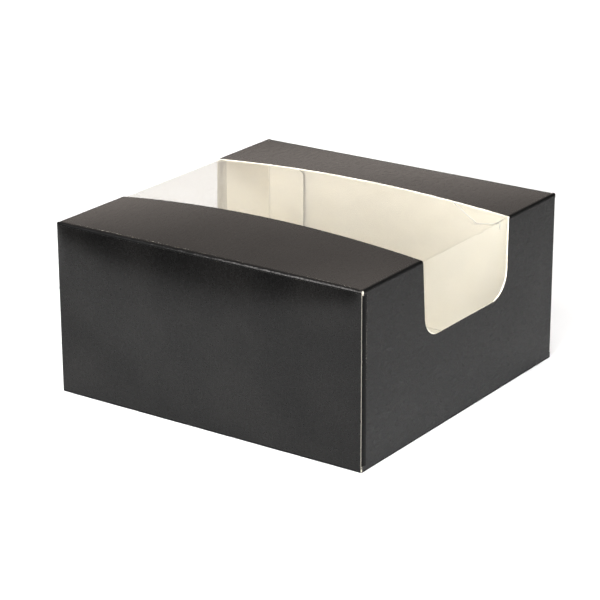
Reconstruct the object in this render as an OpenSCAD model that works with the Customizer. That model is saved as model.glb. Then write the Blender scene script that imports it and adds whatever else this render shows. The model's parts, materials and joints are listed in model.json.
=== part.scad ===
// Folding carton with a clear window band, for cakes and pastries.
// One printed paperboard blank is folded into a sleeve that is open at both ends, and
// each end is shut by a closure panel that hangs from the top strip and tucks in at the
// bottom, in front of two dust flaps. A clear film is glued inside the window band, which
// crosses the top and runs down into both side walls.
//
// Origin: centre of the footprint, on the surface that the carton stands on.
// -Y is the front closure, +Y the back closure, +X the right-hand side wall, +Z up.

/* [Carton] */
// Outside width, along the closure panels
carton_w = 200; // [150:5:250]
// Outside depth, from closure panel to closure panel
carton_d = 200; // [160:5:250]
// Outside height at the straight folds
carton_h = 100; // [90:5:125]
// Thickness of the paperboard
board_t = 0.5; // [0.4:0.05:0.6]

/* [Window band] */
// Width of the front top strip, from its fold to the window
front_strip_w = 57.5; // [45:0.5:60]
// Width of the back top strip, from its fold to the window
back_strip_w = 52.5; // [45:0.5:60]
// Height that the front strip's window edge arches above the folds
front_arch = 5.5; // [2:0.5:8]
// Height that the back strip's window edge arches above the folds
back_arch = 4.5; // [2:0.5:8]
// Depth of the cut-out in each side wall, from the top fold
cutout_depth = 43.5; // [35:0.5:50]
// Radius of the cut-out's two lower corners
cutout_r = 15; // [8:1:18]
// How far the cut-out's front edge leans in from the fold to its lower corner
cutout_front_lean = 3.5; // [0:0.5:5]
// How far the cut-out's back edge leans in from the fold to its lower corner
cutout_back_lean = 2; // [0:0.5:5]
// Thickness of the clear film
film_t = 0.15; // [0.1:0.05:0.2]
// Width of the film's hidden margin behind the board
film_margin = 8; // [7:0.5:12]

/* [Flaps] */
// Length of each tuck flap, from its crease to its free edge
tuck_len = 25; // [18:1:25]
// Angle at which a shut tuck flap rises from its crease
tuck_rise = 12; // [12:0.5:13]
// Reach of each dust flap, from the outside of the side wall
dust_reach = 27.5; // [20:0.5:32]
// Slope of each dust flap's upper edge, which clears the closure as it opens
dust_slope = 30; // [28:1:40]
// Height of the glued seam flap above the surface the carton stands on
seam_flap_h = 15; // [12:1:20]

/* [Hidden] */
$fn = 48;

FRONT = -1;
BACK = 1;
LEFT = -1;
RIGHT = 1;
BLACK_BOARD = "#2f2d2c";
CLEAR_FILM = [0.88, 0.90, 0.88, 0.35];
GLUE = "#e6e0cf";

slip = 0.1;                       // air between two layers of board that slide on each other
glue_t = 0.1;                     // thickness of a glue line
turn_gap = 0.05;                  // air round a crease that turns against a board edge
crease_r = board_t;               // a crease bulges into a bead as thick as two layers
bead_gap_r = crease_r + turn_gap; // hollow that a turning crease runs in
swing_gap_r = crease_r * sqrt(2) + turn_gap; // the same, where the panel's corner passes too

half_w = carton_w / 2;
half_d = carton_d / 2;
closure_half = half_w - 0.8;      // a closure panel stops short of the side walls' outsides
tuck_half = closure_half - 1.2;   // and a tuck flap is narrower, to slide between the walls
tuck_corner_r = 12;
dust_corner_r = 4;
dust_low = 3.3;                   // a dust flap's lower edge clears the tuck flap below it
dust_top = carton_h - 2.5;        // and its crease ends short of the closure's
seam_end = 5;                     // the seam flap stops short of the closures
seam_glue_low = 2;                // its glue starts this far above the surface
left_wall_lift = 0.2;             // the left wall's cut edge ends just above the surface

// Crease axes, given for the right-hand wall and the back end
closure_axis = [half_d - crease_r, carton_h - crease_r];              // y, z
tuck_axis = [half_d - crease_r, board_t + slip + crease_r];           // y, z
dust_axis = [half_w - crease_r, half_d - board_t - slip - crease_r];  // x, y
wall_axis_x = half_w - crease_r;
seam_axis_x = half_w - board_t - glue_t - crease_r;
bottom_half_d = half_d - board_t - slip;
crease_end_y = closure_axis[0] - swing_gap_r;

// Window band
window_front = -half_d + front_strip_w;
window_back = half_d - back_strip_w;
cutout_step = 0.5;                  // the side cut-outs are this much shorter at each end
dome_half = half_w - 2 * crease_r;  // the strips arch between their two side creases
dome_steps = 32;
film_x = half_w - board_t - glue_t;
film_z = carton_h - board_t - glue_t;
film_fold = 0.6;                    // the film turns the top corner across this much
glue_inset = 2;                     // the window's glue line runs this far from the cut edge
glue_line_w = 4;
glue_reach = glue_inset + glue_line_w;

// Stations across each top strip, in order of rising y, shared by board, glue and film so
// that their facets lie flat on each other: fold, film edge, glue line, window edge
front_y = [-closure_axis[0], window_front - film_margin,
    window_front - glue_reach, window_front - glue_inset, window_front];
back_y = [window_back, window_back + glue_inset,
    window_back + glue_reach, window_back + film_margin, closure_axis[0]];

// Share of the arch at x: a parabola, 1 in the middle and 0 at the side creases
function dome(x) = 1 - pow(x / dome_half, 2);

// Stations 'first' to 'last' of the front strip as [y, arch], straight from fold to window
function front_stations(first, last) = [
    for (i = [first : last])
        [front_y[i], front_arch * (front_y[i] - front_y[0]) / (window_front - front_y[0])]
];

// The same for the back strip
function back_stations(first, last) = [
    for (i = [first : last])
        [back_y[i], back_arch * (back_y[4] - back_y[i]) / (back_y[4] - window_back)]
];

// Draws what is given for the back end at either end, and for the right side at either side
module at_end(end) mirror([0, end == FRONT ? 1 : 0, 0]) children();
module at_side(side) mirror([side == LEFT ? 1 : 0, 0, 0]) children();

// Extrudes an (x, z) outline along y, between two values of y
module across_y(y0, y1) translate([0, y1, 0]) rotate([90, 0, 0]) linear_extrude(y1 - y0) children();

// Extrudes a (y, z) outline along x, between two values of x
module across_x(x0, x1) translate([x0, 0, 0]) rotate([90, 0, 90]) linear_extrude(x1 - x0) children();

// A round rod along x, y or z
module rod_x(r, y, z, half_len) translate([-half_len, y, z]) rotate([0, 90, 0]) cylinder(r = r, h = 2 * half_len);
module rod_z(r, x, y, z0, z1) translate([x, y, z0]) cylinder(r = r, h = z1 - z0);

// A sheet that arches along x, made of the shared columns but for 'skip' of them at each
// end, and no wider than half_x. Each station is [y, arch there], in order of rising y
module domed_sheet(stations, drop, thick, half_x = dome_half, skip = 0) {
    xs = [
        for (i = [skip : dome_steps - skip])
            max(-half_x, min(half_x, dome_half * (2 * i / dome_steps - 1)))
    ];
    cols = len(xs);
    rows = len(stations);
    count = rows * cols;
    upper = [for (s = stations, x = xs) [x, s[0], carton_h - drop + s[1] * dome(x)]];
    lower = [for (p = upper) p - [0, 0, thick]];
    cells = [for (j = [0 : rows - 2], i = [0 : cols - 2]) j * cols + i];
    last_row = (rows - 1) * cols;
    polyhedron(concat(upper, lower), concat(
        [for (a = cells) [a, a + cols, a + cols + 1]],
        [for (a = cells) [a, a + cols + 1, a + 1]],
        [for (a = cells) [a + count + cols + 1, a + count + cols, a + count]],
        [for (a = cells) [a + count + 1, a + count + cols + 1, a + count]],
        [for (i = [0 : cols - 2]) [i, i + 1, i + 1 + count, i + count]],
        [for (i = [0 : cols - 2], a = [last_row + i]) [a + 1, a, a + count, a + 1 + count]],
        [for (j = [0 : rows - 2], a = [j * cols]) [a + cols, a, a + count, a + cols + count]],
        [for (j = [0 : rows - 2], a = [j * cols + cols - 1]) [a, a + cols, a + cols + count, a + count]]
    ));
}

// The side wall's cut-out as a (y, z) outline, grown by a margin all round
module cutout(grow = 0) {
    front = window_front + cutout_step;
    back = window_back - cutout_step;
    low = carton_h - cutout_depth;
    hull() {
        translate([front - grow, carton_h]) square([back - front + 2 * grow, 1]);
        translate([front + cutout_front_lean + cutout_r, low + cutout_r]) circle(r = cutout_r + grow);
        translate([back - cutout_back_lean - cutout_r, low + cutout_r]) circle(r = cutout_r + grow);
    }
}

// A side wall: its ends are hollowed for the dust flaps' creases
module side_wall(side, low) color(BLACK_BOARD) at_side(side) difference() {
    across_x(wall_axis_x, half_w) difference() {
        translate([-dust_axis[1], low]) square([2 * dust_axis[1], carton_h - 2 * crease_r - low]);
        cutout();
    }
    for (end = [FRONT, BACK])
        rod_z(bead_gap_r, dust_axis[0], end * dust_axis[1], 0, carton_h);
}

module bottom_panel() color(BLACK_BOARD)
    translate([-seam_axis_x + crease_r, -bottom_half_d, 0])
        cube([seam_axis_x + half_w - 3 * crease_r, 2 * bottom_half_d, board_t]);

// A top strip, from its fold to the window, hollowed along the fold for the closure's crease
module top_strip(end) color(BLACK_BOARD) difference() {
    domed_sheet(end == FRONT ? front_stations(0, 4) : back_stations(0, 4), 0, board_t);
    rod_x(swing_gap_r, end * closure_axis[0], closure_axis[1], half_w);
}

// The flap of the bottom panel that is glued up inside the left wall
module seam_flap() color(BLACK_BOARD) across_x(-seam_axis_x - board_t, -seam_axis_x) {
    reach = half_d - seam_end;
    taper = seam_flap_h / 2;
    polygon([
        [-reach, 2 * crease_r], [reach, 2 * crease_r],
        [reach - taper, seam_flap_h], [-reach + taper, seam_flap_h]
    ]);
}

// Section of a fixed crease with its centre at the origin, joining a level panel that
// lies towards -x to an upright one that lies towards -z, outsides up and to the right
module crease_section() {
    circle(r = crease_r);
    translate([-crease_r, 0]) square([crease_r, board_t]);
    translate([0, -crease_r]) square([board_t, crease_r]);
}

module bottom_right_crease() color(BLACK_BOARD) across_y(-dust_axis[1], dust_axis[1])
    translate([wall_axis_x, crease_r]) mirror([0, 1]) crease_section();

module seam_flap_crease() color(BLACK_BOARD) across_y(-half_d + seam_end, half_d - seam_end)
    translate([-seam_axis_x, crease_r]) rotate(180) crease_section();

module top_side_crease(end, side) color(BLACK_BOARD) at_side(side)
    across_y(end == FRONT ? -crease_end_y : window_back, end == FRONT ? window_front : crease_end_y)
        translate([wall_axis_x, closure_axis[1]]) crease_section();

// Glue between the seam flap and the left wall
module seam_glue() color(GLUE) {
    margin = seam_end + seam_flap_h / 2 + glue_inset;
    translate([-half_w + board_t, -half_d + margin, seam_glue_low])
        cube([glue_t, carton_d - 2 * margin, seam_flap_h - glue_inset - seam_glue_low]);
}

// Glue lines between the film and the board, round the window band
module window_glue() color(GLUE) {
    domed_sheet(front_stations(2, 3), board_t, glue_t, skip = 1);
    domed_sheet(back_stations(1, 2), board_t, glue_t, skip = 1);
    for (side = [LEFT, RIGHT])
        at_side(side) across_x(film_x, film_x + glue_t) intersection() {
            difference() {
                cutout(glue_reach);
                cutout(glue_inset);
            }
            translate([-half_d, 0]) square([carton_d, carton_h - glue_inset]);
        }
}

module window_film_top() color(CLEAR_FILM)
    domed_sheet(concat(front_stations(1, 4), back_stations(0, 3)), board_t + glue_t, film_t,
        half_x = film_x - film_fold);

// The film behind a side wall, with the bend that meets the top
module window_film_side(side) color(CLEAR_FILM) at_side(side) across_y(front_y[1], back_y[3])
    polygon([
        [film_x, carton_h - cutout_depth - film_margin], [film_x, film_z - film_fold],
        [film_x - film_fold, film_z], [film_x - film_fold, film_z - film_t],
        [film_x - film_t, film_z - film_fold],
        [film_x - film_t, carton_h - cutout_depth - film_margin]
    ]);

// A closure panel: hollowed below for the tuck flap's crease, with small round lower corners
module closure_panel(end) color(BLACK_BOARD) at_end(end) difference() {
    corner_r = closure_half - tuck_half;
    top = closure_axis[1] - crease_r;
    across_y(half_d - board_t, half_d) {
        translate([-closure_half, tuck_axis[1] + corner_r])
            square([2 * closure_half, top - tuck_axis[1] - corner_r]);
        translate([-tuck_half, tuck_axis[1]]) square([2 * tuck_half, corner_r]);
        for (side = [LEFT, RIGHT])
            translate([side * tuck_half, tuck_axis[1] + corner_r]) circle(r = corner_r);
    }
    rod_x(bead_gap_r, tuck_axis[0], tuck_axis[1], half_w);
}

// The crease that a closure panel turns on
module closure_crease(end) color(BLACK_BOARD) at_end(end) {
    rod_x(crease_r, closure_axis[0], closure_axis[1], closure_half);
    translate([-closure_half, closure_axis[0], closure_axis[1] - crease_r])
        cube([2 * closure_half, board_t, crease_r]);
}

// A tuck flap: round at its two free corners, rising from its crease
module tuck_flap(end) color(BLACK_BOARD) at_end(end)
    translate([0, tuck_axis[0], tuck_axis[1]]) rotate([-tuck_rise, 0, 0])
        translate([0, 0, -board_t]) linear_extrude(board_t) hull() {
            translate([-tuck_half, -2 * crease_r]) square([2 * tuck_half, crease_r]);
            for (side = [LEFT, RIGHT])
                translate([side * (tuck_half - tuck_corner_r), tuck_corner_r - tuck_len])
                    circle(r = tuck_corner_r);
        }

// The crease between a closure panel and its tuck flap
module tuck_crease(end) color(BLACK_BOARD) at_end(end)
    translate([0, tuck_axis[0], tuck_axis[1]]) rotate([-tuck_rise, 0, 0]) {
        rod_x(crease_r, 0, 0, tuck_half);
        translate([-tuck_half, -crease_r, -board_t]) cube([2 * tuck_half, crease_r, board_t]);
    }

// A dust flap: level below, sloping above, round at its two free corners
module dust_flap(end, side) color(BLACK_BOARD) at_end(end) at_side(side)
    across_y(dust_axis[1], dust_axis[1] + board_t) {
        root = dust_axis[0] - crease_r;
        tip = half_w - dust_reach + dust_corner_r;
        tip_top = dust_top - (root - tip) * tan(dust_slope);
        hull() {
            translate([root - crease_r, dust_low]) square([crease_r, dust_top - dust_low]);
            translate([tip, dust_low + dust_corner_r]) circle(r = dust_corner_r);
            translate([tip, tip_top - dust_corner_r]) circle(r = dust_corner_r);
        }
    }

// The crease between a side wall and a dust flap
module dust_crease(end, side) color(BLACK_BOARD) at_end(end) at_side(side) {
    rod_z(crease_r, dust_axis[0], dust_axis[1], dust_low, dust_top);
    translate([dust_axis[0] - crease_r, dust_axis[1], dust_low])
        cube([crease_r, board_t, dust_top - dust_low]);
}

bottom_panel();
side_wall(LEFT, left_wall_lift);  // left_wall
side_wall(RIGHT, 2 * crease_r);  // right_wall
top_strip(FRONT);  // top_front_strip
top_strip(BACK);  // top_back_strip
seam_flap();
bottom_right_crease();
seam_flap_crease();
top_side_crease(FRONT, LEFT);  // top_front_left_crease
top_side_crease(FRONT, RIGHT);  // top_front_right_crease
top_side_crease(BACK, LEFT);  // top_back_left_crease
top_side_crease(BACK, RIGHT);  // top_back_right_crease
seam_glue();
window_glue();
window_film_top();
window_film_side(LEFT);  // window_film_left
window_film_side(RIGHT);  // window_film_right
closure_panel(FRONT);  // front_closure_panel
closure_crease(FRONT);  // front_closure_crease
tuck_flap(FRONT);  // front_tuck_flap
tuck_crease(FRONT);  // front_tuck_crease
dust_flap(FRONT, LEFT);  // front_left_dust_flap
dust_crease(FRONT, LEFT);  // front_left_dust_crease
dust_flap(FRONT, RIGHT);  // front_right_dust_flap
dust_crease(FRONT, RIGHT);  // front_right_dust_crease
closure_panel(BACK);  // back_closure_panel
closure_crease(BACK);  // back_closure_crease
tuck_flap(BACK);  // back_tuck_flap
tuck_crease(BACK);  // back_tuck_crease
dust_flap(BACK, LEFT);  // back_left_dust_flap
dust_crease(BACK, LEFT);  // back_left_dust_crease
dust_flap(BACK, RIGHT);  // back_right_dust_flap
dust_crease(BACK, RIGHT);  // back_right_dust_crease
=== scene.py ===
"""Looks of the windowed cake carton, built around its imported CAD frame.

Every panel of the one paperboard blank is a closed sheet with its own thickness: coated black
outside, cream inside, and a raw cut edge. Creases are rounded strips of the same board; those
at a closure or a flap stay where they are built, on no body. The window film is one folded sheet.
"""
import json
import math

import bpy
import numpy as np
from mathutils import Matrix, Vector, noise
from mathutils.geometry import delaunay_2d_cdt

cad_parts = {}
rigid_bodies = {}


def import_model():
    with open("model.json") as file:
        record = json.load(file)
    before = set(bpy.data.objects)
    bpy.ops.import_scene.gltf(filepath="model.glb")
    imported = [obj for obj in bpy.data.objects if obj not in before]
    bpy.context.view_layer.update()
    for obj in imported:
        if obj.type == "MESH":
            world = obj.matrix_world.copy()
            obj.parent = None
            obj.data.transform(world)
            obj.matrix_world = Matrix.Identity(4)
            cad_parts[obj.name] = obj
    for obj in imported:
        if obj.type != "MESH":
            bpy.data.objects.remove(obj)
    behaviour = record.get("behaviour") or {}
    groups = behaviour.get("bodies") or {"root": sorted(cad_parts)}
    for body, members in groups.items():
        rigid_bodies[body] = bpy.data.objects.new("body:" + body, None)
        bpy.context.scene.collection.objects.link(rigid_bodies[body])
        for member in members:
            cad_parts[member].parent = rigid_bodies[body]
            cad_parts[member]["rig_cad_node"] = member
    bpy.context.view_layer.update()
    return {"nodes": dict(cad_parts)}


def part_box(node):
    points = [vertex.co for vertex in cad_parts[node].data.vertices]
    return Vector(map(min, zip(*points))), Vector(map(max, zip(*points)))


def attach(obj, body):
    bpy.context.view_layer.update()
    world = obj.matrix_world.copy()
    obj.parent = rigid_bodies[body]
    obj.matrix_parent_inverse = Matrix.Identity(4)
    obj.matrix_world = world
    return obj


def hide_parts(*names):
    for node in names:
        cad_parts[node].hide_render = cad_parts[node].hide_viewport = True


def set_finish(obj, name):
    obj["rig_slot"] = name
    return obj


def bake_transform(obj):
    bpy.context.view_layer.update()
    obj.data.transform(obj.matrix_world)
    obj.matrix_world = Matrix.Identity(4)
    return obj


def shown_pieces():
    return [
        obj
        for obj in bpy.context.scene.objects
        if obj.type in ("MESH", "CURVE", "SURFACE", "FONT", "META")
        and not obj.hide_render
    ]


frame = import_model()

MM = 0.001
FRONT, BACK, LEFT, RIGHT = -1, 1, -1, 1
END_NAME = {FRONT: "front", BACK: "back"}
SIDE_NAME = {LEFT: "left", RIGHT: "right"}
OUTSIDE, INSIDE, CUT = 0, 1, 2      # material slots of every board piece

# ---------------------------------------------------------------- sizes, read from the frame
half_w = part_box("right_wall")[1].x
half_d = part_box("back_closure_panel")[1].y
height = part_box("front_closure_crease")[1].z
board_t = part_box("bottom_panel")[1].z
closure_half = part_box("front_closure_panel")[1].x
tuck_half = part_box("front_tuck_crease")[1].x
arch_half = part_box("top_front_strip")[1].x
wall_half_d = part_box("right_wall")[1].y
window_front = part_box("top_front_strip")[1].y
window_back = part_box("top_back_strip")[0].y
front_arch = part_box("top_front_strip")[1].z - height
back_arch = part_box("top_back_strip")[1].z - height
film_front, film_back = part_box("window_film_top")[0].y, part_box("window_film_top")[1].y
film_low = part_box("window_film_right")[0].z
film_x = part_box("window_film_right")[1].x
dust_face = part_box("back_right_dust_flap")[1].y
dust_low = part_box("back_right_dust_crease")[0].z
dust_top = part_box("back_right_dust_crease")[1].z
dust_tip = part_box("back_right_dust_flap")[0].x
seam_face = -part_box("seam_flap")[0].x
seam_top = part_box("seam_flap")[1].z
seam_half_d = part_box("seam_flap")[1].y
left_wall_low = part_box("left_wall")[0].z
bottom_half_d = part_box("bottom_panel")[1].y
tuck_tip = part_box("front_tuck_flap")[1].y
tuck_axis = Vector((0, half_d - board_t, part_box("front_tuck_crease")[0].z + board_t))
BACK_FOLD_IN = 0.3 * MM             # the back dust folds stop this far short of the back closure
wall_end = {FRONT: wall_half_d, BACK: half_d - BACK_FOLD_IN}
dust_corner = {FRONT: dust_face, BACK: half_d}

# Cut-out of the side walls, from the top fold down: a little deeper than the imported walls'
CUTOUT_DEPTH = 45.3 * MM
CUTOUT_RADIUS = {FRONT: 13 * MM, BACK: 15 * MM}
CUTOUT_STEP = 0.5 * MM              # it is this much shorter than the window at each end
STEP_LENGTH = 8 * MM                # the top side creases take up that step over this length
CUTOUT_FRONT_LEAN = 3.5 * MM
CUTOUT_BACK_LEAN = 0.6 * MM

# Tuck and dust flaps
TUCK_RISE = math.radians(12)
TUCK_CORNER = 12 * MM
DUST_SLOPE = math.radians(30)
DUST_CORNER = 4 * MM               # of the lower corner
DUST_TOP_CORNER = 1 * MM

# Creases: outside radius of each fold, and the flat lead-in on either side of it
CLOSURE_FOLD = 1.0 * MM
STRIP_ROLL = 2.0 * MM               # a top strip starts to roll over this far behind its fold
SIDE_FOLD = 1.1 * MM
BOTTOM_FOLD = 0.5 * MM
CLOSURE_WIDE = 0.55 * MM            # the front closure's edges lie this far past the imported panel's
CLOSURE_SHORT = 0.9 * MM            # and the back one's this far inside them
BOTTOM_SHORT = 0.5 * MM             # the bottom's cut edges lie this far back under the closures
SEAM_FOLD = 1.0 * MM
TUCK_FOLD = 0.6 * MM
TUCK_LOW = 0.9 * MM                 # a closure starts to roll under at this height
DUST_FOLD = {FRONT: 2.2 * MM, BACK: 1.1 * MM}
WALL_ROLL = {FRONT: 3.4 * MM, BACK: 0.4 * MM}  # a side wall rolls over this far before a dust fold
DUST_LEAN = 1.2 * MM                # a dust flap springs back from its closure this far at its tip
LEAD = 0.5 * MM
FOLD_STEPS = 8
FOLD_END = 0.1 * MM                 # a closure's fold narrows this far beyond the top strip

GRID = 3.5 * MM                     # mesh spacing of the flat panels
RIPPLE = 0.10 * MM                  # slow waviness of the board
RIPPLE_SIZE = 38 * MM

# The front closure bulges just under its fold, most in the middle; the back one a little
BULGE_SLOPE = {FRONT: 0.27, BACK: 0.10}
STRIP_BOW = 0.35                    # how much steeper than straight a top strip leaves its fold
BULGE_CORNER = 5 * MM               # the bulge dies out this close to a corner
BULGE_ENDS = 8 * MM
BULGE_MIDDLE = 19 * MM
BULGE_SETTLED = 45 * MM             # below this, and twice it in the middle, the closure is flat again

# Stubs on the front closure's edges, where the blank was held in its sheet, measured from the top
STUBS = (38 * MM, 71 * MM)
STUB_OUT = 0.2 * MM
STUB_SIZE = 0.5 * MM
STUB_GRID = 1.0 * MM                # mesh spacing of the edges that have stubs

# Crease where the film was folded a little askew, near the right end of the back strip
BUCKLE = [Vector((64, 47)) * MM, Vector((89.5, 30)) * MM, Vector((99, 39)) * MM]


# ---------------------------------------------------------------- shader helpers
class Nodes:
    """Short-hand for building a node tree."""

    def __init__(self, tree):
        self.tree = tree

    def add(self, kind, inputs=(), **settings):
        node = self.tree.nodes.new(kind)
        for name, value in settings.items():
            setattr(node, name, value)
        for name, value in dict(inputs).items():
            if isinstance(value, bpy.types.NodeSocket):
                self.tree.links.new(value, node.inputs[name])
            else:
                node.inputs[name].default_value = value
        return node

    def place(self):
        return self.add("ShaderNodeTexCoord").outputs["Object"]

    def noise(self, scale, detail=3.0, stretch=(1, 1, 1), rough=0.5):
        moved = self.add("ShaderNodeMapping", {"Vector": self.place(), "Scale": stretch})
        inputs = {"Vector": moved.outputs[0], "Scale": scale, "Detail": detail, "Roughness": rough}
        return self.add("ShaderNodeTexNoise", inputs).outputs[0]

    def ranged(self, value, low, high, to_low=0.0, to_high=1.0):
        """Eases from to_low, where value is low or beyond it, to to_high at high."""
        inputs = {"Value": value, "From Min": low, "From Max": high, "To Min": to_low, "To Max": to_high}
        return self.add("ShaderNodeMapRange", inputs, interpolation_type="SMOOTHSTEP").outputs[0]

    def mixed(self, factor, a, b):
        """Colour a where factor is 0, and b where it is 1."""
        node = self.add("ShaderNodeMix", data_type="RGBA")
        for socket, value in ((node.inputs[0], factor), (node.inputs[6], a), (node.inputs[7], b)):
            if isinstance(value, bpy.types.NodeSocket):
                self.tree.links.new(value, socket)
            else:
                socket.default_value = value
        return node.outputs[2]

    def maths(self, operation, a, b=0.0):
        node = self.add("ShaderNodeMath", operation=operation)
        for socket, value in zip(node.inputs, (a, b)):
            if isinstance(value, bpy.types.NodeSocket):
                self.tree.links.new(value, socket)
            else:
                socket.default_value = value
        return node.outputs[0]

    def bump(self, height_value, distance, strength=1.0):
        inputs = {"Height": height_value, "Distance": distance, "Strength": strength}
        return self.add("ShaderNodeBump", inputs).outputs[0]

    def attribute(self, name):
        return self.add("ShaderNodeAttribute", attribute_name=name).outputs["Fac"]


def material(name, **principled):
    """A material with one Principled shader; plain values go straight to its sockets."""
    made = bpy.data.materials.new(name)
    made.use_nodes = True
    shader = made.node_tree.nodes["Principled BSDF"]
    for socket, value in principled.items():
        shader.inputs[socket.replace("_", " ")].default_value = value
    return made, Nodes(made.node_tree), shader


def grey(value, warm=1.0):
    """A dark neutral colour, warmer where warm is over 1."""
    return (value * warm, value, value / warm, 1)


# ---------------------------------------------------------------- materials
COAT = 0.15                        # strength of the board's satin coating
WORN_COAT = 0.07                    # the same where it has been scored and bent


def coated_black(name="coated_black_board"):
    """Satin aqueous coating over black print: faint mottle, paper grain under the coat."""
    made, n, shader = material(name, Specular_IOR_Level=COAT)
    link = n.tree.links.new
    mottle = n.ranged(n.noise(28, 4), 0.35, 0.68)
    link(n.mixed(mottle, grey(0.0018, 1.03), grey(0.0034, 1.05)), shader.inputs["Base Color"])
    grain = n.noise(1100, 4, rough=0.6)
    fibre = n.noise(420, 3, stretch=(1, 0.4, 1))
    link(n.ranged(n.maths("ADD", grain, fibre), 0.7, 1.3, 0.245, 0.29), shader.inputs["Roughness"])
    link(n.bump(n.maths("ADD", grain, fibre), 0.003 * MM), shader.inputs["Normal"])
    return made


def scored_fold():
    """The coating where it was scored and bent: dull and black."""
    made, n, shader = material("scored_fold", Specular_IOR_Level=WORN_COAT, Roughness=0.42)
    shader.inputs["Base Color"].default_value = grey(0.0025)
    n.tree.links.new(n.bump(n.noise(700, 4), 0.03 * MM), shader.inputs["Normal"])
    return made


def cracked_highlit_fold():
    """The front top fold: specks of cracked coating along the bend, which join rightward into a painted
    highlight line.
    """
    made, n, shader = material("cracked_highlit_front_fold", Specular_IOR_Level=WORN_COAT)
    link = n.tree.links.new
    across = n.attribute("across")
    line = n.maths("MULTIPLY", n.ranged(across, 0.42, 0.58), n.ranged(across, 0.99, 0.88))
    x = n.add("ShaderNodeSeparateXYZ", {0: n.place()}).outputs["X"]
    # painted highlight: towards the right the light specks join into one line along the bend
    highlight_rightward = n.ranged(x, -60 * MM, 60 * MM)
    specks = n.noise(1300, 4, stretch=(0.6, 1, 1), rough=0.7)
    cracks_and_highlight = n.ranged(n.maths("ADD", specks, n.maths("MULTIPLY", highlight_rightward, 0.18)), 0.56, 0.80)
    cracks_and_highlight = n.maths("MULTIPLY", n.maths("MULTIPLY", cracks_and_highlight, line), n.ranged(x, -75 * MM, -20 * MM))
    link(n.mixed(cracks_and_highlight, grey(0.0025), (0.080, 0.077, 0.075, 1)), shader.inputs["Base Color"])
    link(n.ranged(cracks_and_highlight, 0.0, 1.0, 0.42, 0.8), shader.inputs["Roughness"])
    link(n.bump(n.noise(700, 4), 0.03 * MM), shader.inputs["Normal"])
    return made


def cream_liner():
    """Uncoated inside of the board: cream pulp with long fibres and a soft mottle."""
    made, n, shader = material("cream_liner", Specular_IOR_Level=0.25)
    link = n.tree.links.new
    mottle = n.ranged(n.noise(60, 5, rough=0.6), 0.3, 0.7)
    fibre = n.ranged(n.noise(900, 4, stretch=(1, 0.2, 0.6), rough=0.65), 0.35, 0.75)
    base = n.mixed(mottle, (0.87, 0.825, 0.705, 1), (0.90, 0.855, 0.74, 1))
    link(n.mixed(n.maths("MULTIPLY", fibre, 0.5), base, (0.91, 0.87, 0.77, 1)), shader.inputs["Base Color"])
    link(n.ranged(fibre, 0, 1, 0.72, 0.9), shader.inputs["Roughness"])
    link(n.bump(fibre, 0.02 * MM), shader.inputs["Normal"])
    return made


def raw_edge(name, light, foot):
    """Cut edge of the board: layers of pulp, a little torn; light is how pale it is, and the last
    argument how much of that is left under the painted shade where it stands on the table."""
    made, n, shader = material(name, Specular_IOR_Level=0.2)
    link = n.tree.links.new
    layers = n.ranged(n.noise(1500, 4, stretch=(0.3, 0.3, 1), rough=0.7), 0.3, 0.7)
    shades = ((0.82, 0.76, 0.62), (1.0, 0.95, 0.84))
    low, high = (tuple(light * c for c in colour) + (1,) for colour in shades)
    z = n.add("ShaderNodeSeparateXYZ", {0: n.place()}).outputs["Z"]
    # painted shade: the edge goes near black in its lowest few millimetres, where it meets the table
    unshaded = n.ranged(z, 3.4 * MM, 3.9 * MM, foot, 1.0)
    link(n.mixed(unshaded, grey(0.01), n.mixed(layers, low, high)), shader.inputs["Base Color"])
    link(n.ranged(layers, 0, 1, 0.95, 0.8), shader.inputs["Roughness"])
    link(n.bump(layers, 0.05 * MM), shader.inputs["Normal"])
    return made


def near_line(n, a, b, reach):
    """1 on the level line from a to b, falling to 0 at reach from it."""
    along = Vector((b.x - a.x, b.y - a.y, 0))
    flat = n.add("ShaderNodeVectorMath", {0: n.place(), 1: (1, 1, 0)}, operation="MULTIPLY").outputs[0]
    out = n.add("ShaderNodeVectorMath", {0: flat, 1: (a.x, a.y, 0)}, operation="SUBTRACT").outputs[0]
    ahead = n.add("ShaderNodeVectorMath", {0: out, 1: tuple(along)}, operation="DOT_PRODUCT")
    inputs = {0: ahead.outputs["Value"], 1: 1 / along.length_squared}
    share = n.add("ShaderNodeMath", inputs, operation="MULTIPLY", use_clamp=True).outputs[0]
    foot = n.add("ShaderNodeVectorMath", {0: tuple(along), "Scale": share}, operation="SCALE").outputs[0]
    away = n.add("ShaderNodeVectorMath", {0: out, 1: foot}, operation="DISTANCE").outputs["Value"]
    return n.ranged(away, reach, 0)


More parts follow.
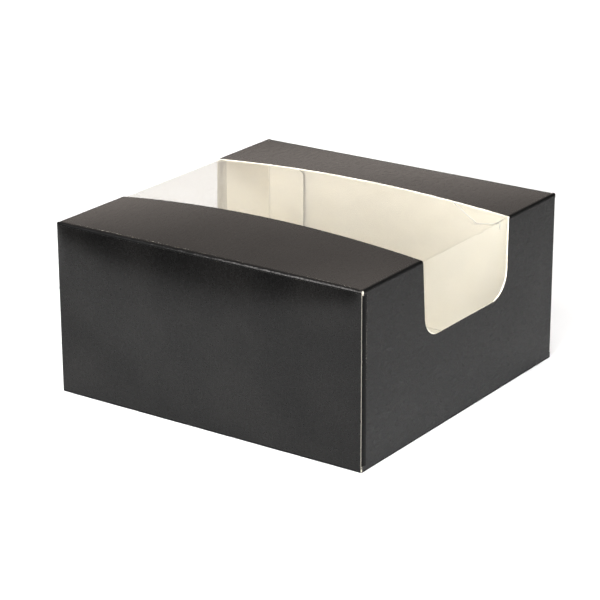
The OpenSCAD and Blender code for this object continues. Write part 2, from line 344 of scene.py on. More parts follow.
def clear_film():
    """Clear window film: see-through, glossy at a slant, with a light haze, rubbing marks and,
    where it is buckled, painted highlights: milky lines along its creases."""
    made, n, haze = material("clear_window_film", Roughness=0.6)
    link = n.tree.links.new
    cloud = n.ranged(n.noise(22, 3), 0.3, 0.7)
    rubbed = n.ranged(n.noise(260, 4, stretch=(1, 1, 0.12), rough=0.7), 0.60, 0.80)
    milky = n.maths("ADD", n.ranged(cloud, 0, 1, 0.02, 0.035), n.maths("MULTIPLY", rubbed, 0.03))
    # painted highlight: the film turns milky along the lines of its buckle
    crease_highlight = n.maths("MAXIMUM", *(near_line(n, a, b, 0.4 * MM) for a, b in zip(BUCKLE, BUCKLE[1:])))
    z = n.add("ShaderNodeSeparateXYZ", {0: n.place()}).outputs["Z"]
    crease_highlight = n.maths("MULTIPLY", crease_highlight, n.ranged(z, height - 6 * MM, height - 4 * MM))
    milky = n.maths("ADD", milky, n.maths("MULTIPLY", crease_highlight, 0.45))
    link(n.mixed(cloud, (0.84, 0.84, 0.82, 1), (0.90, 0.90, 0.88, 1)), haze.inputs["Base Color"])
    clear = n.add("ShaderNodeBsdfTransparent", {"Color": (0.94, 0.94, 0.935, 1)}).outputs[0]
    hazy = n.add("ShaderNodeMixShader", {0: milky, 1: clear, 2: haze.outputs[0]}).outputs[0]
    normal = n.bump(n.noise(35, 2), 0.15 * MM)
    shine = n.add("ShaderNodeBsdfGlossy", {"Roughness": n.ranged(rubbed, 0, 1, 0.06, 0.2), "Normal": normal})
    slant = n.add("ShaderNodeLayerWeight", {"Blend": 0.5, "Normal": normal}).outputs["Facing"]
    share = n.ranged(n.maths("POWER", slant, 5.0), 0.0, 1.0, 0.06, 1.0)
    mixed = n.add("ShaderNodeMixShader", {0: share, 1: hazy, 2: shine.outputs[0]}).outputs[0]
    link(mixed, n.tree.nodes["Material Output"].inputs["Surface"])
    return made


def dried_glue():
    """Dried dispersion glue: milky, a little uneven."""
    made, n, shader = material("dried_glue", Specular_IOR_Level=0.4)
    link = n.tree.links.new
    blobs = n.ranged(n.noise(300, 3), 0.3, 0.7)
    link(n.mixed(blobs, (0.70, 0.66, 0.55, 1), (0.84, 0.81, 0.72, 1)), shader.inputs["Base Color"])
    link(n.ranged(blobs, 0, 1, 0.35, 0.6), shader.inputs["Roughness"])
    return made


BLACK = coated_black()
CREAM = cream_liner()
EDGE = raw_edge("raw_cut_edge", 0.68, 0.15)
# the same cut edge at half the paleness: painted shade on the edges of the closures, tucks and dust flaps
SHADED_EDGE = raw_edge("shaded_cut_edge", 0.34, 1.0)
FRONT_FOLD = cracked_highlit_fold()
SOFT_FOLD = scored_fold()
FILM = clear_film()
GLUE = dried_glue()
BOARD = (BLACK, CREAM, EDGE)
CLOSURE_BOARD = (BLACK, CREAM, SHADED_EDGE)
BOTTOM_BOARD = (BLACK, CREAM, SOFT_FOLD)        # its cut edges are dark: painted shade where they stand on the table


# ---------------------------------------------------------------- mesh helpers
def smoothstep(value, low=0.0, high=1.0):
    t = min(1.0, max(0.0, (value - low) / (high - low)))
    return t * t * (3 - 2 * t)


def piece(name, vertices, faces, slots, materials, attributes=None):
    """A mesh object: smooth within each material, with a hard line where materials meet."""
    mesh = bpy.data.meshes.new(name)
    mesh.from_pydata([tuple(v) for v in vertices], [], faces)
    for m in materials:
        mesh.materials.append(m)
    mesh.polygons.foreach_set("material_index", slots)
    mesh.polygons.foreach_set("use_smooth", [True] * len(faces))
    for label, values in (attributes or {}).items():
        mesh.attributes.new(label, "FLOAT", "POINT").data.foreach_set("value", values)
    mesh.update()
    sharpen(mesh)
    made = bpy.data.objects.new(name, mesh)
    bpy.context.scene.collection.objects.link(made)
    return made


def sharpen(mesh, angle=math.radians(35)):
    """Marks an edge sharp where its two faces differ in material or turn by more than angle."""
    at_edge = {}
    for polygon in mesh.polygons:
        for key in polygon.edge_keys:
            at_edge.setdefault(key, []).append(polygon)
    sharp = []
    for edge in mesh.edges:
        pair = at_edge.get(edge.key, [])
        turned = len(pair) == 2 and pair[0].normal.angle(pair[1].normal, 0) > angle
        mixed = len(pair) == 2 and pair[0].material_index != pair[1].material_index
        sharp.append(turned or mixed)
    flag = mesh.attributes.get("sharp_edge") or mesh.attributes.new("sharp_edge", "BOOLEAN", "EDGE")
    flag.data.foreach_set("value", sharp)


def rounded(corners, radii, steps=10):
    """A closed outline through the corners, each rounded by an arc of its radius."""
    outline = []
    count = len(corners)
    for i, (corner, radius) in enumerate(zip(corners, radii)):
        here = Vector(corner)
        before = (Vector(corners[i - 1]) - here).normalized()
        after = (Vector(corners[(i + 1) % count]) - here).normalized()
        if radius <= 0:
            outline.append(here)
            continue
        half = before.angle(after) / 2
        centre = here + (before + after).normalized() * (radius / math.sin(half))
        start = here + before * (radius / math.tan(half)) - centre
        end = here + after * (radius / math.tan(half)) - centre
        sweep = start.angle(end)
        for k in range(steps + 1):
            a, b = math.sin(sweep * (1 - k / steps)), math.sin(sweep * k / steps)
            outline.append(centre + (start * a + end * b) / math.sin(sweep))
    return outline


def subdivided(outline, spacing):
    """The outline with points added so that no side is longer than spacing."""
    points = []
    for i, a in enumerate(outline):
        b = outline[(i + 1) % len(outline)]
        parts = max(1, math.ceil((b - a).length / spacing - 1e-6))
        points += [a.lerp(b, k / parts) for k in range(parts)]
    return points


def inner_grid(outline, spacing):
    """Grid points inside the outline and well clear of it."""
    loop = np.array([tuple(p) for p in outline])
    nxt = np.roll(loop, -1, axis=0)
    low, high = loop.min(0), loop.max(0)
    counts = np.maximum(2, np.round((high - low) / spacing)).astype(int)
    us = np.linspace(low[0], high[0], counts[0] + 1)[1:-1]
    vs = np.linspace(low[1], high[1], counts[1] + 1)[1:-1]
    kept = []
    for u in us:
        for v in vs:
            point = np.array((u, v))
            side = nxt - loop
            t = np.clip(((point - loop) * side).sum(1) / np.maximum((side ** 2).sum(1), 1e-18), 0, 1)
            if np.hypot(*(loop + side * t[:, None] - point).T).min() < 0.45 * spacing:
                continue
            crosses = (loop[:, 1] > v) != (nxt[:, 1] > v)
            slope = np.where(crosses, (v - loop[:, 1]) / np.where(crosses, side[:, 1], 1), 0)
            if (crosses & (u < loop[:, 0] + slope * side[:, 0])).sum() % 2:
                kept.append(Vector((u, v)))
    return kept


def panel(name, outline, surface, thickness=board_t, spacing=GRID, materials=BOARD):
    """A closed sheet. outline is in the panel's own (u, v); surface(u, v) gives its outside."""
    rim = subdivided(outline, spacing)
    points = rim + inner_grid(rim, spacing)
    flat, _, triangles, _, _, _ = delaunay_2d_cdt(points, [], [list(range(len(rim)))], 1, 1e-7)
    outer = [surface(p.x, p.y) for p in flat]
    step = 0.05 * MM
    inner = []
    for p, place in zip(flat, outer):
        along = surface(p.x + step, p.y) - surface(p.x - step, p.y)
        up = surface(p.x, p.y + step) - surface(p.x, p.y - step)
        inner.append(place - along.cross(up).normalized() * thickness)
    count = len(outer)
    faces, slots, used = [], [], {}
    for tri in triangles:
        a, b, c = tri
        if (flat[b] - flat[a]).cross(flat[c] - flat[a]) < 0:
            a, b, c = a, c, b
        faces += [(a, b, c), (c + count, b + count, a + count)]
        slots += [OUTSIDE, INSIDE]
        for pair in ((a, b), (b, c), (c, a)):
            used[pair] = True
    for a, b in used:
        if (b, a) not in used:
            faces.append((b, a, a + count, b + count))
            slots.append(CUT)
    return piece(name, outer + inner, faces, slots, materials)


def fold_section(a, corner, b, thickness=board_t, lead=LEAD, steps=FOLD_STEPS):
    """Section of a fold from a to b round a corner, with flat lead-ins: (outer, inner, across).
    The points are 2D; the inside of the board is on the side that the fold curls round."""
    a, corner, b = Vector(a), Vector(corner), Vector(b)
    outer = [a - (corner - a).normalized() * lead]
    across = [0.0]
    for k in range(steps + 1):
        t = k / steps
        outer.append(a * (1 - t) ** 2 + corner * 2 * t * (1 - t) + b * t ** 2)
        across.append(t)
    outer.append(b + (b - corner).normalized() * lead)
    across.append(1.0)
    middle = (a + b) / 2
    inner = []
    for i, p in enumerate(outer):
        along = (outer[min(i + 1, len(outer) - 1)] - outer[max(i - 1, 0)]).normalized()
        normal = Vector((-along.y, along.x))
        if normal.dot(middle - corner) < 0:
            normal = -normal
        inner.append(p + normal * thickness)
    return outer, inner, across


def fold(name, stations, sections, place, materials):
    """A closed strip of board along a fold. place(station, 2D point) gives the 3D point."""
    vertices, across = [], []
    for station, (outer, inner, shares) in zip(stations, sections):
        vertices += [place(station, p) for p in outer] + [place(station, p) for p in reversed(inner)]
        across += shares + list(reversed(shares))
    ring = len(sections[0][0]) * 2
    width = ring // 2
    faces, slots = [], []
    for row in range(len(stations) - 1):
        for i in range(ring):
            j = (i + 1) % ring
            a, b = row * ring + i, row * ring + j
            faces.append((a, b, b + ring, a + ring))
            slots.append(CUT if i in (width - 1, ring - 1) else OUTSIDE if i < width else INSIDE)
    last = (len(stations) - 1) * ring
    for i in range(width - 1):
        cap = (i, ring - 1 - i, ring - 2 - i, i + 1)
        faces += [cap, tuple(last + k for k in reversed(cap))]
        slots += [CUT, CUT]
    made = piece(name, vertices, faces, slots, materials, {"across": across})
    return outward(made)


def outward(made):
    """Turns the faces of a closed mesh so that they all look outwards."""
    mesh = made.data
    volume = sum(
        mesh.vertices[p.vertices[0]].co.dot(
            mesh.vertices[p.vertices[i]].co.cross(mesh.vertices[p.vertices[i + 1]].co))
        for p in mesh.polygons for i in range(1, len(p.vertices) - 1)
    )
    if volume < 0:
        mesh.flip_normals()
    return made


def spread(low, high, spacing=GRID):
    """Evenly spaced values from low to high, both included."""
    count = max(1, math.ceil((high - low) / spacing))
    return [low + (high - low) * k / count for k in range(count + 1)]


# ---------------------------------------------------------------- surfaces of the carton
def dome(x):
    """Share of the arch at x: 1 in the middle, 0 at the side creases."""
    return 1 - (x / arch_half) ** 2


def strip_rise(end, y):
    """Arch of a top strip at y: nothing at its fold, all of it at the window, steeper at first."""
    arch, edge = (front_arch, window_front) if end == FRONT else (back_arch, window_back)
    fold_y = end * (half_d - board_t)
    t = min(1.0, max(0.0, (y - fold_y) / (edge - fold_y)))
    return arch * t * (1 + STRIP_BOW * (1 - t))


def ripple(point, fade):
    """Slow waviness of the board, faded out towards its creases."""
    return RIPPLE * fade * noise.noise(point / RIPPLE_SIZE)


def edge_fade(u, v, low_u, high_u, low_v, high_v, reach=9 * MM):
    """1 inside a panel, falling to 0 at its four sides."""
    nearest = min(u - low_u, high_u - u, v - low_v, high_v - v)
    return smoothstep(nearest, 0, reach)


def bulge_slope(end, x):
    """How steeply a closure leaves its fold at x: not at all where the side walls hold it."""
    return BULGE_SLOPE[end] * smoothstep(half_w - abs(x), 0, BULGE_CORNER)


def bulge(end, x, z):
    """How far a closure stands proud: it leaves its fold steeply and settles back below."""
    middle = max(0.0, 1 - (x / half_w) ** 2)
    reach = BULGE_ENDS + BULGE_MIDDLE * middle
    most = bulge_slope(end, x) * reach / 2
    below = height - CLOSURE_FOLD - z
    if below < 0:
        return bulge_slope(end, x) * below
    if below < reach:
        return most * (1 - (1 - below / reach) ** 2)
    settled = BULGE_SETTLED + BULGE_SETTLED * middle
    return most * (1 - smoothstep(below, reach, settled))


def closure_surface(end):
    def surface(x, z):
        fade = edge_fade(x, z, -half_w, half_w, 0, height)
        out = bulge(end, x, z) + ripple(Vector((x, end * half_d, z)), fade)
        return Vector((x, end * (half_d + out), z))
    return surface


def strip_surface(end):
    def surface(x, y):
        edge = window_front if end == FRONT else window_back
        fade = edge_fade(x, y, -half_w, half_w, *sorted((end * half_d, edge)))
        lift = strip_rise(end, y) * dome(x) + ripple(Vector((x, y, height)), fade)
        return Vector((x, y, height + lift))
    return surface


def wall_surface(side):
    def surface(y, z):
        fade = edge_fade(y, z, -wall_half_d, wall_half_d, 0, height)
        return Vector((side * (half_w + ripple(Vector((side * half_w, y, z)), fade)), y, z))
    return surface


def mirrored(outline):
    """The outline turned over, with its winding kept."""
    return [Vector((-p.x, p.y)) for p in reversed(outline)]


def turned_over(surface):
    """The same surface with its first direction reversed, so that its other side is outside."""
    return lambda u, v: surface(-u, v)


# ---------------------------------------------------------------- sleeve
def wall_outline(side):
    """(y, z) outline of a side wall: notched for the dust creases and cut out for the window."""
    top = height - SIDE_FOLD - LEAD
    low = left_wall_low if side == LEFT else BOTTOM_FOLD + LEAD
    inner = {end: dust_face - WALL_ROLL[end] - LEAD for end in (FRONT, BACK)}
    cut_low = height - CUTOUT_DEPTH
    front, back = window_front + CUTOUT_STEP, window_back - CUTOUT_STEP
    drop = (height - top) / CUTOUT_DEPTH
    corners = [
        (-wall_half_d, low), (wall_end[BACK], low), (wall_end[BACK], dust_low),
        (inner[BACK], dust_low), (inner[BACK], dust_top), (wall_end[BACK], dust_top),
        (wall_end[BACK], top),
        (back - CUTOUT_BACK_LEAN * drop, top), (back - CUTOUT_BACK_LEAN, cut_low),
        (front + CUTOUT_FRONT_LEAN, cut_low), (front + CUTOUT_FRONT_LEAN * drop, top),
        (-wall_half_d, top), (-wall_half_d, dust_top), (-inner[FRONT], dust_top),
        (-inner[FRONT], dust_low), (-wall_half_d, dust_low),
    ]
    radii = [0.0] * len(corners)
    radii[8], radii[9] = CUTOUT_RADIUS[BACK], CUTOUT_RADIUS[FRONT]
    return rounded(corners, radii, steps=14)


def make_walls():
    for side in (LEFT, RIGHT):
        name = SIDE_NAME[side] + "_wall"
        surface = wall_surface(side)
        outline = wall_outline(side)
        if side == LEFT:
            surface = turned_over(surface)
            outline = mirrored(outline)
        made = panel(name + "_board", outline, surface)
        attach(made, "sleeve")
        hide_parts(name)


def make_bottom():
    low_x = -(seam_face - SEAM_FOLD - LEAD)
    high_x = half_w - BOTTOM_FOLD - LEAD
    end_y = bottom_half_d - BOTTOM_SHORT
    corners = [(-high_x, -end_y), (-low_x, -end_y), (-low_x, end_y), (-high_x, end_y)]
    outline = rounded(corners, [0.0] * 4)
    made = panel("bottom_board", outline, lambda u, v: Vector((-u, v, 0)), materials=BOTTOM_BOARD)
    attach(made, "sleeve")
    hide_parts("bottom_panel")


def make_strips():
    for end in (FRONT, BACK):
        edge = window_front if end == FRONT else window_back
        start = end * (half_d - STRIP_ROLL - LEAD)
        side = half_w - SIDE_FOLD - LEAD
        low, high = sorted((start, edge))
        outline = rounded([(-side, low), (side, low), (side, high), (-side, high)], [0.0] * 4)
        made = panel(f"top_{END_NAME[end]}_board", outline, strip_surface(end))
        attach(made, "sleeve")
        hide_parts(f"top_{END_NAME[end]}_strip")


def make_seam_flap():
    low = SEAM_FOLD + LEAD
    taper = seam_top / 2
    corners = [(-seam_half_d, low), (seam_half_d, low), (seam_half_d - taper, seam_top),
               (-seam_half_d + taper, seam_top)]
    outline = rounded(corners, [0.0, 0.0, 2 * MM, 2 * MM])
    made = panel("seam_flap_board", outline, lambda y, z: Vector((-seam_face, -y, z)))
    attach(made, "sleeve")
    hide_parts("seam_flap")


def make_bottom_crease(name, node, corner_x, radius, ys):
    """A fold from the bottom up into the wall or the seam flap at corner_x."""
    start_x = corner_x - math.copysign(radius, corner_x)
    section = fold_section((start_x, 0), (corner_x, 0), (corner_x, radius))
    made = fold(name, ys, [section] * len(ys),
                lambda y, p: Vector((p.x, y, p.y)), (SOFT_FOLD, CREAM, EDGE))
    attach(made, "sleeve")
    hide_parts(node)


def make_top_side_creases():
    """Each rounds from the arched strip down to the wall; its window end meets the cut-out."""
    start_x = half_w - SIDE_FOLD
    for end in (FRONT, BACK):
        edge = window_front if end == FRONT else window_back
        outer_end = -(half_d - CLOSURE_FOLD - LEAD) if end == FRONT else wall_end[BACK]
        low, high = sorted((outer_end, edge))
        ys = spread(low, high)
        sections = []
        for y in ys:
            rise = strip_rise(end, y)
            slope = -2 * start_x / arch_half ** 2 * rise
            begin = (start_x, height + rise * dome(start_x))
            corner = (half_w, begin[1] + slope * (half_w - start_x))
            sections.append(fold_section(begin, corner, (half_w, height - SIDE_FOLD)))
        for side in (LEFT, RIGHT):
            def place(y, p, side=side, end=end, edge=edge):
                near = smoothstep(abs(y - edge), STEP_LENGTH, 0)
                down = smoothstep(height - p.y, 0, SIDE_FOLD + LEAD)
                return Vector((side * p.x, y - end * CUTOUT_STEP * near * down, p.y))
            name = f"top_{END_NAME[end]}_{SIDE_NAME[side]}"
            made = fold(name + "_fold", ys, sections, place, (SOFT_FOLD, CREAM, EDGE))
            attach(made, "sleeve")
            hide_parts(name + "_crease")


# ---------------------------------------------------------------- closures and their flaps
def closure_edge(end, z):
    """Half width of a closure at height z: the front one fills the front, and has two stubs."""
    if end == BACK:
        return closure_half - CLOSURE_SHORT
    stub = sum(STUB_OUT * math.exp(-((height - z - at) / STUB_SIZE) ** 2) for at in STUBS)
    return closure_half + CLOSURE_WIDE + stub


def make_closure(end):
    name = END_NAME[end] + "_closure"
    low, high = TUCK_LOW + LEAD, height - CLOSURE_FOLD - LEAD
    right = [Vector((closure_edge(end, z), z)) for z in spread(low, high, STUB_GRID)]
    outline = right + mirrored(right)
    surface = closure_surface(end)
    if end == BACK:
        surface = turned_over(surface)
    made = panel(name + "_board", outline, surface, materials=CLOSURE_BOARD)
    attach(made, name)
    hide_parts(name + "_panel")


def make_closure_crease(end):
    name = END_NAME[end] + "_closure"
    edge = closure_edge(end, height)
    strip_half = min(half_w - SIDE_FOLD - LEAD, edge - 2 * FOLD_END)
    ends = [strip_half + FOLD_END, edge]
    xs = [-x for x in reversed(ends)] + spread(-strip_half, strip_half) + ends
    sections = []
    for x in xs:
        corner = (half_d - CLOSURE_FOLD * bulge_slope(end, x), height)
        roll = STRIP_ROLL if abs(x) <= strip_half else CLOSURE_FOLD
        begin_y = half_d - roll
        begin = (begin_y, height + strip_rise(end, end * begin_y) * dome(x))
        sections.append(fold_section(begin, corner, (half_d, height - CLOSURE_FOLD)))
    made = fold(name + "_fold", xs, sections, lambda x, p: Vector((x, end * p.x, p.y)),
                (FRONT_FOLD if end == FRONT else SOFT_FOLD, CREAM, EDGE))
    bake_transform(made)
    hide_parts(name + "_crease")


def tuck_point(end, x, inward, down):
    """A point on a tuck flap, by its distance from the crease and below the crease's axis."""
    along = Vector((0, -end * math.cos(TUCK_RISE), math.sin(TUCK_RISE)))
    under = Vector((0, -end * math.sin(TUCK_RISE), -math.cos(TUCK_RISE)))
    axis = Vector((x, end * tuck_axis.y, tuck_axis.z))
    return axis + along * inward + under * down


def make_tuck(end):
    name = END_NAME[end] + "_tuck"
    length = (tuck_tip + half_d - board_t) / math.cos(TUCK_RISE)
    start = TUCK_FOLD + LEAD
    corners = [(-tuck_half, start), (tuck_half, start), (tuck_half, length), (-tuck_half, length)]
    outline = rounded(corners, [0.0, 0.0, TUCK_CORNER, TUCK_CORNER])
    made = panel(name + "_flap_board", outline, lambda u, v: tuck_point(end, end * u, v, board_t))
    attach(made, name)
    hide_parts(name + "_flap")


def make_tuck_crease(end):
    name = END_NAME[end] + "_tuck"
    inside = tuck_point(BACK, 0, TUCK_FOLD, board_t)
    section = fold_section((half_d, TUCK_LOW), (half_d, 0), (inside.y, inside.z))
    half = closure_edge(end, tuck_axis.z)
    xs = spread(-half, half)
    made = fold(name + "_fold", xs, [section] * len(xs), lambda x, p: Vector((x, end * p.x, p.y)),
                (SOFT_FOLD, CREAM, SHADED_EDGE))
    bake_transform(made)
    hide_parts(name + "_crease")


def make_dust(end, side):
    name = f"{END_NAME[end]}_{SIDE_NAME[side]}_dust"
    root = half_w - DUST_FOLD[end] - LEAD
    tip_top = dust_top - (root - dust_tip) * math.tan(DUST_SLOPE)
    corners = [(dust_tip, dust_low), (root, dust_low), (root, dust_top), (dust_tip, tip_top)]
    outline = rounded(corners, [DUST_CORNER, 0.0, 0.0, DUST_TOP_CORNER])
    turned = end * side == BACK * RIGHT
    if turned:
        outline = mirrored(outline)
    sign = side * (-1 if turned else 1)

    def surface(u, z):
        lean = DUST_LEAN * max(0.0, (root - abs(u)) / (root - dust_tip)) ** 2
        return Vector((sign * u, end * (dust_face - lean), z))

    made = panel(name + "_flap_board", outline, surface, materials=CLOSURE_BOARD)
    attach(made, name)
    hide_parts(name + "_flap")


def make_dust_crease(end, side):
    name = f"{END_NAME[end]}_{SIDE_NAME[side]}_dust"
    a = (half_w, dust_face - WALL_ROLL[end])
    section = fold_section(a, (half_w, dust_corner[end]), (half_w - DUST_FOLD[end], dust_face))
    zs = spread(dust_low, dust_top)
    made = fold(name + "_fold", zs, [section] * len(zs),
                lambda z, p: Vector((side * p.x, end * p.y, z)), (SOFT_FOLD, CREAM, EDGE))
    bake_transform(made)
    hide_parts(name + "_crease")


# ---------------------------------------------------------------- window film
FILM_T = 0.15 * MM
FILM_FOLD = 1.2 * MM
BUCKLE_DEPTH = 1.4 * MM
BUCKLE_REACH = 9 * MM               # how far the dent spreads towards the front
BUCKLE_HELD = 3 * MM                # and how near the back strip it dies out
FILM_HELD = 12 * MM                 # the film's waves die out this close to where board holds it
FILM_WAVE = 0.45 * MM
# Each set of waves: its share, the breadth and the height of a wave, and where its noise starts
FILM_WAVES = ((1.0, 9 * MM, 60 * MM, 3.7), (0.5, 4 * MM, 25 * MM, 8.1))
FILM_GRID_X, FILM_GRID_Y, FILM_GRID_Z = 2.2 * MM, 2.0 * MM, 2.5 * MM      # mesh spacing


def film_arch(y):
    """Arch of the film at y: with the strips where they hold it, straight between them."""
    if y < window_front:
        return strip_rise(FRONT, y)
    if y > window_back:
        return strip_rise(BACK, y)
    return front_arch + (back_arch - front_arch) * (y - window_front) / (window_back - window_front)


def buckle(x, y):
    """Dent where the film was folded a little askew, near the right end of the back strip."""
    p = Vector((x, y))
    deep = 0.0
    for a, b in zip(BUCKLE, BUCKLE[1:]):
        t = min(1.0, max(0.0, (p - a).dot(b - a) / (b - a).length_squared))
        line = a.lerp(b, t)
        depth = smoothstep(line.x, BUCKLE[0].x, BUCKLE[1].x)
        away = (p - line).length
        if y > line.y:
            share = max(0.0, 1 - away / max(window_back - line.y, 1 * MM))
        else:
            share = max(0.0, 1 - away / BUCKLE_REACH) ** 2
        deep = max(deep, depth * share)
    held = smoothstep(window_back - y, 0, BUCKLE_HELD) if y < window_back else 0.0
    return -BUCKLE_DEPTH * deep * held


def film_ripple(y, z):
    """Soft upright waves of the film behind a side window, none where board holds it."""
    held = smoothstep(y, window_front, window_front + FILM_HELD)
    held *= smoothstep(-y, -window_back, -window_back + FILM_HELD)
    held *= smoothstep(z, height - CUTOUT_DEPTH, height - CUTOUT_DEPTH + FILM_HELD)
    wave = sum(share * noise.noise(Vector((y / breadth, z / tall, begin)))
               for share, breadth, tall, begin in FILM_WAVES)
    return -FILM_WAVE * held * (0.5 + wave)


def make_film():
    """One sheet: up inside the left wall, across the arched top and down the right wall."""
    top_z = height - board_t - (half_w - board_t - film_x)
    turn = film_x - FILM_FOLD
    side_zs = spread(film_low, top_z - FILM_FOLD, FILM_GRID_Z)
    turns = [math.radians(90 * k / 6) for k in range(1, 6)]
    xs = spread(-turn, turn, FILM_GRID_X)
    ys = spread(film_front, film_back, FILM_GRID_Y)
    path = [("left", z) for z in side_zs] + [("left_turn", a) for a in turns]
    path += [("top", x) for x in xs]
    path += [("right_turn", a) for a in reversed(turns)] + [("right", z) for z in reversed(side_zs)]

    def place(kind, at, y):
        edge_z = top_z + film_arch(y) * dome(turn)
        if kind in ("left", "right"):
            side = RIGHT if kind == "right" else LEFT
            return Vector((side * (film_x + film_ripple(y, at)), y, at))
        if kind in ("left_turn", "right_turn"):
            side = RIGHT if kind == "right_turn" else LEFT
            middle = Vector((side * turn, y, top_z - FILM_FOLD))
            up = (edge_z - top_z + FILM_FOLD) * math.sin(at)
            return middle + Vector((side * FILM_FOLD * math.cos(at), 0, up))
        return Vector((at, y, top_z + film_arch(y) * dome(at) + buckle(at, y)))

    rows = [[place(kind, at, y) for kind, at in path] for y in ys]
    solid_sheet("window_film", rows, FILM_T)


def solid_sheet(name, rows, thickness):
    """Closes a grid of points into a thin sheet; the grid is its outside."""
    high, wide = len(rows), len(rows[0])
    grid = np.array([[tuple(p) for p in row] for row in rows])
    du = np.gradient(grid, axis=1)
    dv = np.gradient(grid, axis=0)
    normal = np.cross(du, dv)
    normal /= np.linalg.norm(normal, axis=2, keepdims=True)
    inner = grid - normal * thickness
    vertices = [Vector(p) for p in np.concatenate([grid.reshape(-1, 3), inner.reshape(-1, 3)])]
    count = high * wide
    faces = []
    for j in range(high - 1):
        for i in range(wide - 1):
            a = j * wide + i
            quad = (a, a + 1, a + 1 + wide, a + wide)
            faces += [quad, tuple(count + k for k in reversed(quad))]
    rim = [j * wide for j in range(high - 1, 0, -1)] + list(range(wide))
    rim += [j * wide + wide - 1 for j in range(1, high)]
    rim += [(high - 1) * wide + i for i in range(wide - 2, 0, -1)]
    for a, b in zip(rim, rim[1:] + rim[:1]):
        faces.append((b, a, a + count, b + count))
    made = piece(name, vertices, faces, [0] * len(faces), (FILM,))
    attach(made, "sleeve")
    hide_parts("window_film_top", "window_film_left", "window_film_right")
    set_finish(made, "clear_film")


# ---------------------------------------------------------------- everything together
make_walls()
make_bottom()
make_strips()
make_seam_flap()
make_bottom_crease("bottom_right_fold", "bottom_right_crease", half_w, BOTTOM_FOLD,
                   spread(-wall_end[FRONT], wall_end[BACK]))
make_bottom_crease("seam_flap_fold", "seam_flap_crease", -seam_face, SEAM_FOLD,
                   spread(-seam_half_d, seam_half_d))
make_top_side_creases()
for this_end in (FRONT, BACK):
    make_closure(this_end)
    make_closure_crease(this_end)
    make_tuck(this_end)
    make_tuck_crease(this_end)
    for this_side in (LEFT, RIGHT):
        make_dust(this_end, this_side)
        make_dust_crease(this_end, this_side)
make_film()
for node in ("seam_glue", "window_glue"):
    mesh = frame["nodes"][node].data
    mesh.materials.clear()
    mesh.materials.append(GLUE)
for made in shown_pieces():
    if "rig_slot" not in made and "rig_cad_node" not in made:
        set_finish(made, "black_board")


# ---------------------------------------------------------------- floor, light and camera
FLOOR_HALF = 8.0
FLOOR_DROP = 0.05 * MM              # keeps the floor clear of the bottom panel
CAMERA_PLACE = Vector((0.7040, -1.0234, 0.4964))
CAMERA_TARGET = Vector((-0.0095, 0.0030, 0.0422))
CAMERA_ROLL = math.radians(-0.196)
LENS = 140.3
SWEEP_WAY = (-0.87, 0.50, 0.0)      # level direction of the sweep's brightest part
BRIGHT_SWEEP = (0.94, 0.84, 0.77, 1)
DIM_STUDIO = (0.05, 0.05, 0.055, 1)


def make_floor():
    """A wide pale floor, with the faint mottle of a paper sweep."""
    corners = [(x * FLOOR_HALF, y * FLOOR_HALF, 0) for x, y in ((-1, -1), (1, -1), (1, 1), (-1, 1))]
    mesh = bpy.data.meshes.new("floor")
    mesh.from_pydata(corners, [], [(0, 1, 2, 3)])
    made, n, shader = material("paper_sweep", Specular_IOR_Level=0.1, Roughness=0.9)
    cloud = n.ranged(n.noise(3, 3), 0.3, 0.7)
    colour = n.mixed(cloud, (0.90, 0.90, 0.90, 1), (0.92, 0.92, 0.92, 1))
    n.tree.links.new(colour, shader.inputs["Base Color"])
    mesh.materials.append(made)
    floor = bpy.data.objects.new("floor", mesh)
    floor.location.z = -FLOOR_DROP
    bpy.context.scene.collection.objects.link(floor)


def softbox(name, place, target, size, power, spread=180):
    """A square soft light; its grid keeps the light within spread degrees."""
    light = bpy.data.lights.new(name, "AREA")
    light.size = size
    light.energy = power
    light.spread = math.radians(spread)
    made = bpy.data.objects.new(name, light)
    made.location = place
    made.rotation_euler = (Vector(target) - Vector(place)).to_track_quat("-Z", "Y").to_euler()
    made.visible_camera = False
    bpy.context.scene.collection.objects.link(made)
    return made


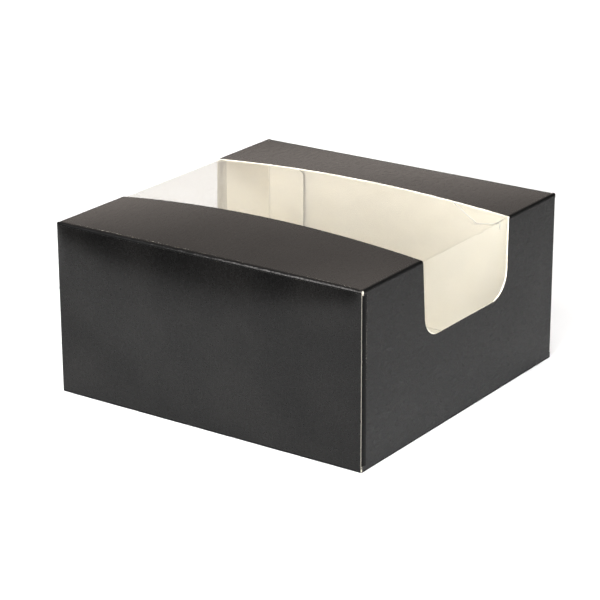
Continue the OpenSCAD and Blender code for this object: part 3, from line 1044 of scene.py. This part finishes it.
def make_world():
    """Dim studio, with a warm bright sweep low behind the carton and to its left."""
    world = bpy.data.worlds.new("studio")
    world.use_nodes = True
    bpy.context.scene.world = world
    n = Nodes(world.node_tree)
    way = n.add("ShaderNodeTexCoord").outputs["Generated"]
    rise = n.add("ShaderNodeSeparateXYZ", {0: way}).outputs["Z"]
    level = n.add("ShaderNodeVectorMath", {0: way, 1: (1, 1, 0)}, operation="MULTIPLY").outputs[0]
    level = n.add("ShaderNodeVectorMath", {0: level}, operation="NORMALIZE").outputs[0]
    near = n.add("ShaderNodeVectorMath", {0: level, 1: SWEEP_WAY}, operation="DOT_PRODUCT").outputs["Value"]
    glow = n.maths("MULTIPLY", n.ranged(near, 0.35, 0.98), n.ranged(rise, 1.1, 0.4))
    colour = n.mixed(glow, DIM_STUDIO, BRIGHT_SWEEP)
    world.node_tree.links.new(colour, world.node_tree.nodes["Background"].inputs["Color"])


def make_camera():
    camera = bpy.data.cameras.new("camera")
    camera.lens = LENS
    camera.sensor_width = 36.0
    camera.clip_start = 0.05
    made = bpy.data.objects.new("camera", camera)
    aim = (CAMERA_TARGET - CAMERA_PLACE).to_track_quat("-Z", "Y").to_matrix()
    turn = aim @ Matrix.Rotation(CAMERA_ROLL, 3, "Z")
    made.matrix_world = Matrix.Translation(CAMERA_PLACE) @ turn.to_4x4()
    bpy.context.scene.collection.objects.link(made)
    bpy.context.scene.camera = made


make_floor()
make_world()
softbox("key", (-1.00, -0.90, 1.05), (-0.05, -0.10, 0), 0.5, 1.15, spread=50)
softbox("fill", (0.85, -0.95, 0.95), (-0.05, -0.10, 0), 0.5, 1.4, spread=50)
softbox("floor_pool", (-0.05, -0.35, 1.50), (-0.05, -0.30, 0), 0.3, 0.5, spread=32)
softbox("low_front", (0.90, -1.50, 0.50), (0, 0, 0.10), 0.6, 1.5, spread=40)
softbox("low_middle", (0.30, -1.75, 0.52), (-0.03, 0, 0.10), 0.6, 3.4, spread=40)
softbox("side", (1.40, -0.45, 0.45), (0, 0, 0.08), 0.5, 0.75, spread=50)
softbox("overhead", (0.20, -0.20, 2.40), (0, 0, 0), 1.0, 15)
softbox("backdrop", (-0.50, 1.10, 1.60), (-0.60, 0.85, 0), 0.5, 5.5, spread=70)
make_camera()
bpy.context.scene.view_settings.view_transform = "Standard"
